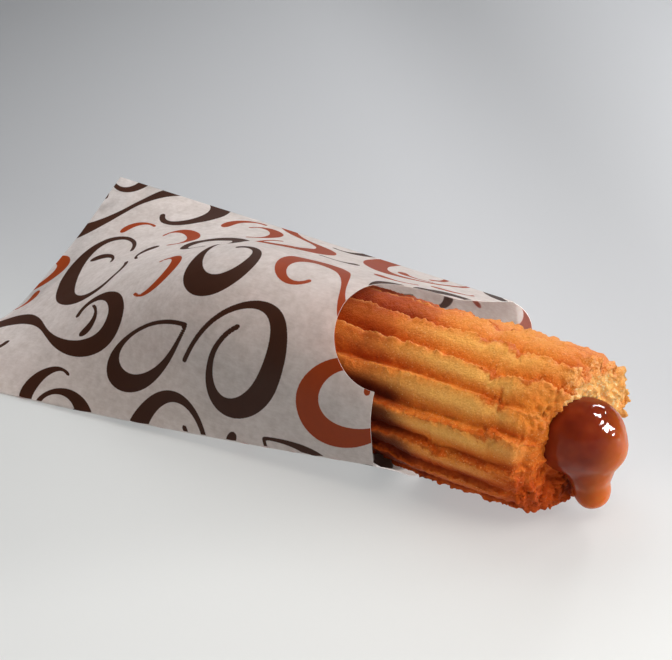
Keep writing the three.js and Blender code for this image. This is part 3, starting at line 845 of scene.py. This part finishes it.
# pale specks on the crumb, painted as highlights
skin = shade.mix(crumb_glints * crumb_value * 0.85, skin, CRUMB_GLINT)
bumps = shade.noise(0.4, 3.0, 0.65) + shade.noise(1.1, 2.0) * 0.8
bump = shade.node("Bump", sockets={"Height": bumps, "Strength": 0.85, "Distance": 0.4 * MM})
crust_skin = shade.node("BsdfPrincipled", sockets={
    "Base Color": skin,
    "Roughness": 0.5 + 0.2 * grain,
    "Specular IOR Level": 0.08,
    "Normal": bump,
    "Subsurface Weight": 0.15,
    "Subsurface Radius": (1.0, 0.45, 0.15),
    "Subsurface Scale": 1.2 * MM,
    "Emission Color": shade.mix(crumb_value, DARK, CRUMB_GLOW),
    "Emission Strength": 1.0,
})
crust_material = shade.surface(crust_skin)
dough = make_object("churro_dough", dough_points, dough_faces, [crust_material], dough_numbers)
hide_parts("dough")

# %% [markdown]
# ## The filling
#
# The milk caramel is a thick, glossy drop: a soft union of round lumps. Its skin is found along
# rays from the heart of the drop. A straight core runs from it back through the dough.

# %% Lumps of the drop
# x, y, z and radius of each lump
LUMPS = [
    (163.0, -1.9, 20.3, 7.2),
    (165.9, -4.1, 24.1, 6.1),
    (166.8, 0.0, 21.2, 8.0),
    (171.1, 0.8, 18.3, 3.9),
    (167.6, 0.4, 13.2, 5.0),
    (168.2, 1.2, 7.0, 4.0),
]
SOFTNESS = 1.1
HEART = np.array([167.7, 0.52, 16.0])


def filling_distance(places):
    """How far places lie outside the lumps; negative inside."""
    total = 0
    for *centre, lump_radius in LUMPS:
        distance = np.linalg.norm(places - np.array(centre), axis=-1) - lump_radius
        total = total + np.exp(-distance / SOFTNESS)
    return -SOFTNESS * np.log(total)


print("depth of the heart:", round(-float(filling_distance(HEART)), 2), "mm")

# %% Skin of the drop
STRIDE, FARTHEST, HALVINGS = 0.25, 20, 16
DROP_ROWS, DROP_COLUMNS = 120, 160
# height, size and seed of the waves in the skin
DROP_WAVES = ((0.16, 5.0, 31), (0.09, 2.4, 32), (0.055, 1.1, 33))


def reach(rays):
    """How far the skin lies from the heart along each ray, by strides and then by halving."""
    inside = np.zeros(rays.shape[:-1])
    for stride in np.arange(0, FARTHEST, STRIDE):
        hit = filling_distance(HEART + rays * stride) < 0
        inside = np.where(hit, stride, inside)
    outside = inside + STRIDE
    for _ in range(HALVINGS):
        halfway = (inside + outside) / 2
        hit = filling_distance(HEART + rays * halfway[..., None]) < 0
        inside = np.where(hit, halfway, inside)
        outside = np.where(hit, outside, halfway)
    return inside


tilt = np.linspace(0, math.pi, DROP_ROWS + 2)[1:-1, None]
turn = np.linspace(0, 2 * math.pi, DROP_COLUMNS, endpoint=False)[None, :]
directions = np.stack(
    [np.sin(tilt) * np.cos(turn), np.sin(tilt) * np.sin(turn), np.cos(tilt) + 0 * turn], axis=-1
)
drop_grid = HEART + directions * reach(directions)[..., None]
waves = sum(height * space_noise(drop_grid, size, seed) for height, size, seed in DROP_WAVES)
drop_grid = drop_grid + directions * waves[..., None]
poles = np.array([[0, 0, 1.0], [0, 0, -1.0]])
poles = HEART + poles * reach(poles)[:, None]
print("the drop hangs down to", round(float(poles[1, 2]), 1), "mm above the table")

# %% Core inside the dough
CORE_RADIUS, CORE_START, CORE_END, CORE_BEVEL = 6.4, 82.0, 165.0, 1.2

core_x = np.array([CORE_START, CORE_START + CORE_BEVEL, *np.linspace(90, CORE_END, 12)])[:, None]
core_radius = np.where(core_x == CORE_START, CORE_RADIUS - CORE_BEVEL, CORE_RADIUS)
around = np.linspace(0, 2 * math.pi, 96, endpoint=False)[None, :]
core_grid = round_axis(core_x, core_radius, around)
core_ends = round_axis(np.array([CORE_START, CORE_END]), 0, 0)
print("core rings:", len(core_grid))

# %% [markdown]
# Milk caramel lets light in a little way, which is called subsurface scattering, and mirrors
# lamps sharply. It is dark, and painted a lighter orange towards the right, as painted light
# that shines through it there, so the colour follows a direction through the drop.

# %% Caramel
DARK_CARAMEL, CLOUDY_CARAMEL = (0.17, 0.021, 0.008), (0.25, 0.036, 0.011)
# painted light: lighter orange towards the right, where the lamps shine through the drop
LIT_CARAMEL = (0.80, 0.20, 0.028)
LIT_TOWARDS, LIT_FROM, LIT_TO = (0.836, 0.549, -0.35), 0.0535, 0.0685

shade = Shade("milk caramel")
# the caramel's own dark, cloudy tone, away from the painted light
thick = shade.ramp(shade.noise(6.0, 2.0), (0.35, DARK_CARAMEL), (0.65, CLOUDY_CARAMEL))
towards_lit_side = sum(shade.along(axis) * part for axis, part in zip("XYZ", LIT_TOWARDS))
caramel_skin = shade.node("BsdfPrincipled", sockets={
    "Base Color": shade.mix(shade.step(towards_lit_side, LIT_FROM, LIT_TO), thick, LIT_CARAMEL),
    "Roughness": 0.06,
    "IOR": 1.34,
    "Specular IOR Level": 0.22,
    "Subsurface Weight": 0.7,
    "Subsurface Radius": (1.0, 0.25, 0.05),
    "Subsurface Scale": 3.0 * MM,
})
caramel_material = shade.surface(caramel_skin)

# %% Drop and core as one
drop_points, drop_faces = closed_rings(drop_grid, poles, flip=True)
filling = make_object("caramel_filling", drop_points, drop_faces, [caramel_material])
core_points, core_faces = closed_rings(core_grid, core_ends)
core = make_object("caramel_core", core_points, core_faces, [caramel_material])

union = filling.modifiers.new("core", "BOOLEAN")
union.operation = "UNION"
union.solver = "EXACT"
union.object = core
depsgraph = bpy.context.evaluated_depsgraph_get()
joined = bpy.data.meshes.new_from_object(filling.evaluated_get(depsgraph))
filling.modifiers.clear()
filling.data = joined
bpy.data.objects.remove(core)
joined.polygons.foreach_set("use_smooth", np.ones(len(joined.polygons), bool))
print("drop and core joined:", len(joined.polygons), "faces")
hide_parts("filling")

# %% [markdown]
# ## The paper bag
#
# The bag was a flat sleeve before the churro went in, so it is built as one: two flat panels of
# one width, joined at two creases and glued at the closed end. Each cross-section of a panel is
# a mix of two paths of that width, one that lies flat and one that wraps the churro. The
# numbers are those of the CAD solid, but the paper is as thin as paper.

# %% Cross-sections of the bag
PAPER = 0.16
MOUTH = 124.3
LIP, LIP_CORNER = 4.7, 7.0
HULL = 20.0
WRAP_FROM, WRAP_EASE = 71.0, 0.15
NEAR_MOUTH = np.array([-18.6, 8.5])
FAR_CLOSED, FAR_MOUTH = np.array([49.0, 21.0]), np.array([44.3, 21.2])
NEAR_EASE, NEAR_LIFT = 1.3, 2.2
FLOOR_EDGE = 41.0


def near_crease(x):
    gone = max(0.0, x / MOUTH)
    y = lerp(NEAR_MOUTH[0], NEAR_CORNER, max(0.0, 1 - gone) ** NEAR_EASE)
    return np.array([y, lerp(PAPER, NEAR_MOUTH[1], gone**NEAR_LIFT)])


def far_crease(x):
    return lerp(FAR_CLOSED, FAR_MOUTH, max(0.0, x / MOUTH))


def wrap_share(x):
    """0 where the bag lies flat, 1 where it wraps the churro."""
    t = max(0.0, x / WRAP_FROM)
    if t < 1 - WRAP_EASE:
        return t
    return 1.0 if t > 1 + WRAP_EASE else 1 - (1 + WRAP_EASE - t) ** 2 / (4 * WRAP_EASE)


print("creases at the mouth:", near_crease(MOUTH), far_crease(MOUTH))

# %% Paths of the paper
# handles of the curves that rise to the far crease, from the table and from the crease
WRAPPED_RISE = (8, 0), (2.5, -9)
FLAT_FROM, FLAT_RISE = -3, ((14, 0), (-20, -11.5))


def touch_angle(point, side):
    """Where a straight run of paper meets the round hull over the churro."""
    y, z = point[0], point[1] - AXIS_HEIGHT
    return math.atan2(z, y) + side * math.acos(HULL / math.hypot(y, z))


def arc(start, end, count):
    turn = np.linspace(start, end, count)
    return np.stack([HULL * np.cos(turn), AXIS_HEIGHT + HULL * np.sin(turn)], axis=-1)


def rising_curve(start, end, handles, count=60):
    """A cubic curve whose handles are given from its two ends."""
    t = np.linspace(0, 1, count)[:, None]
    first, second = start + handles[0], end + handles[1]
    middle = 3 * (1 - t) ** 2 * t * first + 3 * (1 - t) * t * t * second
    return (1 - t) ** 3 * start + middle + t**3 * end


def over_churro(near, far):
    path = arc(touch_angle(near, -1) + 2 * math.pi, touch_angle(far, 1), 200)
    return np.concatenate([[near], path, [far]])


def under_churro(near, far):
    touch = min(touch_angle(near, 1), -math.pi / 2 - 0.05)
    path = arc(touch, -math.pi / 2, 60)
    rise = rising_curve(np.array([FLOOR_EDGE, 0]), far, WRAPPED_RISE)
    return np.concatenate([[near], path, rise])


def lying_flat(near, far):
    rise = rising_curve(np.array([FLAT_FROM, PAPER]), far, FLAT_RISE)
    return np.concatenate([[near], rise])


def gone_along(path):
    """How far each point of a path is from its start."""
    return np.concatenate([[0], np.cumsum(np.linalg.norm(np.diff(path, axis=0), axis=1))])


def along(path, shares):
    """Points at shares of a path's length."""
    gone = gone_along(path)
    return np.stack([np.interp(shares * gone[-1], gone, path[:, i]) for i in (0, 1)], axis=-1)


PANEL_WIDTH = float(gone_along(over_churro(NEAR_MOUTH, FAR_MOUTH))[-1])
print("flat width of the bag:", round(PANEL_WIDTH, 1), "mm")

# %% [markdown]
# The sheet's points lie on rows across the bag. The front panel's rows end at the thumb notch,
# the back panel's at the lip with its rounded corners. A table of cross-sections every half
# millimetre gives the place of any point of the flat sheet.

# %% Panels
STATIONS = np.arange(-1.0, MOUTH + LIP + 1.5, 0.5)
FOLD_SHARE = 0.06
NOTCH_CENTRE, NOTCH_HALF, NOTCH_DEPTH = 39.5, 20.4, 15.8


def section_table(side, shares):
    """y and z of a panel, for each station and share; side is 1 for the front, -1 for the back."""
    edge = np.minimum(shares, 1 - shares)
    creased = 1 - smoothstep(edge, 0, FOLD_SHARE)
    table = []
    for x in STATIONS:
        near, far = near_crease(x), far_crease(x)
        wrapped = over_churro(near, far) if side > 0 else under_churro(near, far)
        share = wrap_share(x)
        section = lerp(along(lying_flat(near, far), shares), along(wrapped, shares), share)
        section[:, 1] = np.maximum(0, section[:, 1] + side * PAPER * lerp(1, creased, share))
        table.append(section)
    return np.array(table)


def front_end(distance):
    """Where the front panel ends, at the mouth or in the notch."""
    off = (distance - NOTCH_CENTRE) / NOTCH_HALF
    return MOUTH - NOTCH_DEPTH * np.sqrt(np.clip(1 - off * off, 0, None))


def back_end(distance):
    """Where the back panel ends, at the lip with its rounded corners."""
    side = np.clip(np.minimum(distance, PANEL_WIDTH - distance) / LIP_CORNER, 0, 1)
    return MOUTH + LIP * np.sqrt(1 - (1 - side) ** 2)


def sheet(side, start, distances, row_shares):
    """Points of a panel in space, and their places x and distance on the flat sheet."""
    ends = front_end(distances) if side > 0 else back_end(distances)
    x = start + row_shares[:, None] * (ends - start)
    table = section_table(side, distances / PANEL_WIDTH)
    space = [x]
    for part in (0, 1):
        column = [np.interp(x[:, j], STATIONS, table[:, j, part]) for j in range(len(distances))]
        space.append(np.stack(column, axis=1))
    return np.stack(space, axis=-1), np.stack([x, distances + 0 * x], axis=-1)


print("stations along the bag:", len(STATIONS))

# %% Columns and rows of the sheet
IN_NOTCH, BEFORE_NOTCH, AFTER_NOTCH = 76, 35, 57
IN_CORNER, SHEET_ROWS = 13, 216

notch_columns = NOTCH_CENTRE - NOTCH_HALF * np.cos(np.linspace(0, math.pi, IN_NOTCH))
before_notch = np.linspace(0, notch_columns[0], BEFORE_NOTCH + 1)[:-1]
after_notch = np.linspace(notch_columns[-1], PANEL_WIDTH, AFTER_NOTCH + 1)[1:]
front_columns = np.concatenate([before_notch, notch_columns, after_notch])
corner = LIP_CORNER * (1 - np.cos(np.linspace(0, math.pi / 2, IN_CORNER + 1)))[:-1]
between_corners = len(front_columns) - 2 * IN_CORNER
back_columns = np.concatenate([
    corner,
    np.linspace(LIP_CORNER, PANEL_WIDTH - LIP_CORNER, between_corners),
    (PANEL_WIDTH - corner)[::-1],
])
row_shares = np.linspace(0, 1, SHEET_ROWS)
print("columns of a panel:", len(front_columns), len(back_columns))

# %% [markdown]
# Thin paper is never quite smooth: it buckles softly in the slack beside the churro and pulls
# into faint ribs where it is stretched. The outer skin moves first, and the inner skin follows
# it at the paper's thickness.

# %% Outer and inner skins
# height, size and seed of the buckles, and how much they are drawn out along the bag
BUCKLES = ((0.18, 7.0, 21, 0.35), (0.30, 19.0, 22, 1.0), (0.05, 3.2, 23, 1.0))
CREASE_CALM = 9  # millimetres in which buckles fade out towards a crease
GLUED = 8.0
INSET = 0.5


def outward(space, side):
    """Unit normals of a panel that point out of the bag."""
    return -side * grid_normals(space)


def buckle(space, flat, side):
    """Soft waves in a panel, fading out at the creases and where it lies on something."""
    normal = outward(space, side)
    edge = np.minimum(flat[..., 1], PANEL_WIDTH - flat[..., 1])
    waves = 0
    for height, size, seed, drawn_out in BUCKLES:
        places = np.concatenate([flat * [drawn_out, 1.0], 0 * flat[..., :1]], axis=-1)
        waves = waves + height * space_noise(places, size, seed)
    move = smoothstep(edge, 0, CREASE_CALM) * waves
    if side < 0:
        move = move * smoothstep(space[..., 2], 0.3, 4)
    moved = space + normal * move[..., None]
    moved[..., 2] = np.maximum(moved[..., 2], 0)
    return moved


def pushed(distances):
    """Columns of the inner skin, moved a little away from the creases."""
    near, far = (np.exp(-d / (1.5 * INSET)) for d in (distances, PANEL_WIDTH - distances))
    return distances + INSET * near - INSET * far


skins = {}
for side, columns_of in ((1, front_columns), (-1, back_columns)):
    space, flat = sheet(side, 0.0, columns_of, row_shares)
    skins[side, "outer"] = buckle(space, flat, side), flat
    space, flat = sheet(side, GLUED, pushed(columns_of), row_shares)
    space = buckle(space, flat, side)
    skins[side, "inner"] = space - outward(space, side) * PAPER, flat
print("front panel's middle:", skins[1, "outer"][0][108, 60].round(1))

# %% [markdown]
# ## The print
#
# The bag carries a generic pattern of flourishes in two inks, thick and thin like the strokes of
# a broad pen. Each flourish is a curve with a width along it: scrolls, curls, drops, crescents and
# commas, turned and sized at random and packed without touching, the large ones first.


# %% Scrolls and curls
HAIRLINE = 0.0065  # half the width of the thinnest part of a stroke, for a length of one


def stroke(start, count, squash, heading, swelling):
    """A line that goes ahead along a heading and swells, one unit long, about its own middle."""
    t = np.linspace(start, 1, count)
    path = np.cumsum(np.stack([np.cos(heading(t)), np.sin(heading(t))], axis=-1) / count, axis=0)
    path = path - (path.min(axis=0) + path.max(axis=0)) / 2
    return path * np.array([1, squash]), HAIRLINE + swelling(t)


# a long stroke whose ends curl opposite ways and swell as they turn
tendril = stroke(
    -1, 120, 0.8,
    heading=lambda t: 5.3 * np.abs(t) ** 1.6,
    swelling=lambda t: 0.021 * np.sin(math.pi * np.abs(t) ** 0.85) ** 2.2,
)
# a stroke whose ends curl the same way, thick along its back
cradle = stroke(
    -1, 110, 0.75,
    heading=lambda t: 3.4 * t * np.abs(t) ** 0.4,
    swelling=lambda t: 0.027 * np.cos(math.pi * t / 2) ** 3,
)
# a long thin tail that runs into a wide curl with a thick side
hook = stroke(
    0, 120, 0.7,
    heading=lambda t: 7.0 * t**1.35,
    swelling=lambda t: 0.024 * np.sin(math.pi * t**1.25) ** 3,
)
print("points of the strokes:", [len(path) for path, _ in (tendril, cradle, hook)])


# %% Drops, crescents and commas
def drop():
    """The outline of a drop with a thick round side and an open, thin point."""
    t = np.linspace(0.25, 2 * math.pi - 0.1, 90)
    path = np.stack([np.cos(t), np.sin(t) * np.sin(t / 2) ** 0.9 * 0.74], axis=-1) * 0.5
    return path, 0.022 + 0.085 * np.sin(t / 2 + 0.25) ** 6


def crescent():
    t = np.linspace(0, 1, 50)
    turn = math.radians(120) * (2 * t - 1)
    width = 0.012 + 0.12 * np.sin(math.pi * t) ** 1.8
    return np.stack([0.36 * np.cos(turn), 0.48 * np.sin(turn)], axis=-1), width


def comma():
    t = np.linspace(0, 1, 40)
    turn = 2.0 * t
    path = np.stack([0.42 * np.sin(turn), 0.42 * (1 - np.cos(turn))], axis=-1)
    return path - path.mean(axis=0), 0.012 + 0.13 * t**1.5 * np.sqrt(np.clip(1 - t**7, 0, 1))


print("widest part of a comma:", round(float(comma()[1].max()), 3), "of its length")

# %% Packing the flourishes
# the shape, its length in millimetres, how many times it is tried and how much is orange
MOTIFS = [
    (tendril, 118, 34, 0.5),
    (hook, 100, 50, 0.45),
    (cradle, 84, 60, 0.45),
    (hook, 78, 120, 0.5),
    (tendril, 80, 120, 0.45),
    (drop(), 23, 200, 0.35),
    (crescent(), 17, 200, 0.4),
    (comma(), 15, 260, 0.5),
]
PRINT_GAP = 1.1  # bare paper between two flourishes
FINEST = 0.42  # half the width of the finest tails
PRINT_SEEDS = {1: 7, -1: 6}


def pack_print(seed):
    """Flourishes strewn over a panel: (points, half widths, is it orange)."""
    random = np.random.default_rng(seed)
    placed = []
    taken, taken_width = np.empty((0, 2)), np.empty(0)
    for (path, width), size, tries, orange_share in MOTIFS:
        for _ in range(tries):
            scale = size * random.uniform(0.8, 1.1)
            turn = random.uniform(0, 2 * math.pi)
            spin = np.array([[math.cos(turn), -math.sin(turn)], [math.sin(turn), math.cos(turn)]])
            mirror = np.array([1, random.choice([-1, 1])])
            middle = random.uniform([-8, -8], [MOUTH + 10, PANEL_WIDTH + 8])
            points = (path * mirror * scale) @ spin.T + middle
            if len(taken):
                apart = np.linalg.norm(points[::2, None] - taken[None, ::2], axis=-1)
                apart = apart - width[::2, None] * scale - taken_width[None, ::2]
                if apart.min() < PRINT_GAP:
                    continue
            half_width = np.maximum(width * scale, FINEST)
            placed.append((points, half_width, random.random() < orange_share))
            taken = np.concatenate([taken, points])
            taken_width = np.concatenate([taken_width, half_width])
    return placed


layouts = {side: pack_print(seed) for side, seed in PRINT_SEEDS.items()}
print("flourishes on the panels:", [len(strokes) for strokes in layouts.values()])

# %% [markdown]
# The inks are stored on the sheet's points as distances from the edges of their strokes, which
# keeps the edges crisp between the points.

# %% Ink on the panels
INK_REACH = 3.0  # distances from the ink are worked out up to here


def ink_distance(flat, strokes):
    """How far each place of the sheet lies outside the nearest stroke; negative inside."""
    nearest = np.full(flat.shape[:2], INK_REACH)
    for path, width in strokes:
        margin = width.max() + 2
        low, high = path.min(axis=0) - margin, path.max(axis=0) + margin
        box = np.all((flat > low) & (flat < high), axis=-1)
        places = flat[box]
        best = np.full(len(places), INK_REACH)
        for a, b, wa, wb in zip(path[:-1], path[1:], width[:-1], width[1:]):
            run = b - a
            t = np.clip((places - a) @ run / max(run @ run, 1e-9), 0, 1)
            gap = np.linalg.norm(places - a - t[:, None] * run, axis=1) - lerp(wa, wb, t)
            best = np.minimum(best, gap)
        nearest[box] = np.minimum(nearest[box], best)
    return nearest


inks = {}
for side, strokes in layouts.items():
    for layer in ("outer", "inner"):
        flat = skins[side, layer][1]
        for ink, orange in (("brown_ink", False), ("orange_ink", True)):
            chosen = [(path, width) for path, width, is_orange in strokes if is_orange == orange]
            inks[side, layer, ink] = ink_distance(flat, chosen)
    inked = np.mean(inks[side, "outer", "brown_ink"] < 0)
    print("panel", side, "is brown over", round(100 * float(inked)), "% of its points")

# %% [markdown]
# The skins are joined at the creases, at the glued end and along the mouth, so the bag is one
# closed body of thin paper.

# %% The bag's mesh
order = [(1, "outer"), (-1, "outer"), (1, "inner"), (-1, "inner")]
rows, columns = skins[1, "outer"][0].shape[:2]
count = rows * columns
index = {key: i * count + np.arange(count).reshape(rows, columns) for i, key in enumerate(order)}
front, back_panel = index[1, "outer"], index[-1, "outer"]
front_in, back_in = index[1, "inner"], index[-1, "inner"]
bag_points = np.concatenate([skins[key][0].reshape(-1, 3) for key in order])


def strip(first, second, flip=False):
    """Quads between two lines of points."""
    quads = np.stack([first[:-1], first[1:], second[1:], second[:-1]], axis=-1)
    return quads[:, ::-1] if flip else quads


# the quads and their material: 0 outside, 1 inside, 2 the cut edge
parts = [
    (grid_faces(rows, columns, 0, flip=True), 0),
    (grid_faces(rows, columns, count), 0),
    (strip(front[:, 0], back_panel[:, 0], True), 0),
    (strip(front[:, -1], back_panel[:, -1]), 0),
    (strip(front[0], back_panel[0]), 0),
    (grid_faces(rows, columns, 2 * count), 1),
    (grid_faces(rows, columns, 3 * count, flip=True), 1),
    (strip(front_in[:, 0], back_in[:, 0]), 1),
    (strip(front_in[:, -1], back_in[:, -1], True), 1),
    (strip(front_in[0], back_in[0], True), 1),
    (strip(front[-1], front_in[-1], True), 2),
    (strip(back_panel[-1], back_in[-1]), 2),
    (np.array([[layer[-1, 0] for layer in (back_panel, back_in, front_in, front)]]), 2),
    (np.array([[layer[-1, -1] for layer in (front, front_in, back_in, back_panel)]]), 2),
]
bag_faces = np.concatenate([quads for quads, _ in parts])
bag_slots = np.concatenate([np.full(len(quads), slot) for quads, slot in parts])
bag_numbers = {
    ink: np.concatenate([inks[side, layer, ink].ravel() for side, layer in order])
    for ink in ("brown_ink", "orange_ink")
}
print("bag faces:", len(bag_faces))

# %% [markdown]
# Thin bag paper is greyish white and cloudy, and lets some light through. At the lip, where it is
# single, it also glows with painted light that stands in for the light coming through it. The ink
# on the outside shows on the inside, fainter and blurred.


# %% Paper material
LIP_FROM = float(to_frame([MOUTH, 0, 0])[0])  # past the mouth there is one sheet only
LIP_EASE, LIP_GLOW = 0.0015, 0.36
CLOUDS_FROM, CLOUDS_TO = 0.32, 0.62
CLOUD_DARK, CLOUD_LIGHT = (0.84, 0.82, 0.80), 1.06
BROWN_INK, ORANGE_INK = (0.078, 0.028, 0.015), (0.46, 0.070, 0.010)
INK_PALER, INK_THROUGH = 1.15, 1.07


def tinted(colour, share):
    return tuple(min(1.0, share * part) for part in colour)


def paper_material(name, base, ink_edge, ink_share, see_through):
    """Paper of a tone, with the inks' blur in millimetres and how strong and clear it is."""
    shade = Shade(name)

    def lets_through(colour):
        return shade.node("BsdfTranslucent", sockets={"Color": colour})

    def laid_over(share, under, over):
        return shade.node("MixShader", sockets={0: share, 1: under, 2: over})

    cloud = shade.noise(1.6, 3.0, 0.6)
    fibres = shade.noise(0.5, 2.0, 0.6, squash=(0.3, 1, 1))
    blotches = shade.noise(5.0, 2.0, 0.5)
    cloudy = cloud * 0.45 + fibres * 0.25 + blotches * 0.3
    dark, light = tuple(a * b for a, b in zip(CLOUD_DARK, base)), tinted(base, CLOUD_LIGHT)
    skin = shade.ramp(cloudy, (CLOUDS_FROM, dark), (CLOUDS_TO, light))
    limits = {"Value": cloudy, "From Min": CLOUDS_FROM, "From Max": CLOUDS_TO}
    lightness = shade.node("MapRange", sockets=limits)
    through = laid_over(lightness, lets_through(dark), lets_through(light))
    rough_edge = (shade.noise(0.35, 2.0) - 0.5) * 0.12
    for ink, colour in (("brown_ink", BROWN_INK), ("orange_ink", ORANGE_INK)):
        distance = shade.attribute(ink) + rough_edge
        cover = (1 - shade.step(distance, -ink_edge, ink_edge)) * ink_share
        patch = shade.ramp(cloud, (0.3, colour), (0.7, tinted(colour, INK_PALER)))
        skin = shade.mix(cover, skin, patch)
        through = laid_over(cover, through, lets_through(tinted(colour, INK_THROUGH)))
    relief = cloud * 0.5 + fibres * 0.5
    bump = shade.node("Bump", sockets={"Height": relief, "Strength": 0.25, "Distance": 0.05 * MM})
    # painted light: the single sheet of the lip glows, for the light that comes through it from
    # behind
    single = shade.step(shade.along("X"), LIP_FROM, LIP_FROM + LIP_EASE)
    face = shade.node("BsdfPrincipled", sockets={
        "Base Color": skin,
        "Roughness": 0.62,
        "Normal": bump,
        "Emission Color": shade.mix(single, DARK, skin),
        "Emission Strength": LIP_GLOW,
    })
    return shade.surface(laid_over(see_through, face, through))


# %% The printed bag
# name, tone, blur of the inks, their strength and how much light the paper lets through
PAPERS = [
    ("printed paper", (0.89, 0.847, 0.832), 0.06, 1.0, 0.52),
    # the inside is painted lighter than the outside, for the light that comes through the bag
    ("inside of the paper", (0.98, 0.90, 0.865), 0.16, 0.6, 0.62),
    # the cut edge is painted a little lighter, as a painted highlight
    ("cut edge", (0.9, 0.88, 0.87), 0.06, 0.0, 0.3),
]
bag = make_object(
    "printed_paper_bag",
    bag_points,
    bag_faces,
    [paper_material(*paper) for paper in PAPERS],
    bag_numbers,
    bag_slots,
    sharp=50,
)
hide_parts("paper_bag")
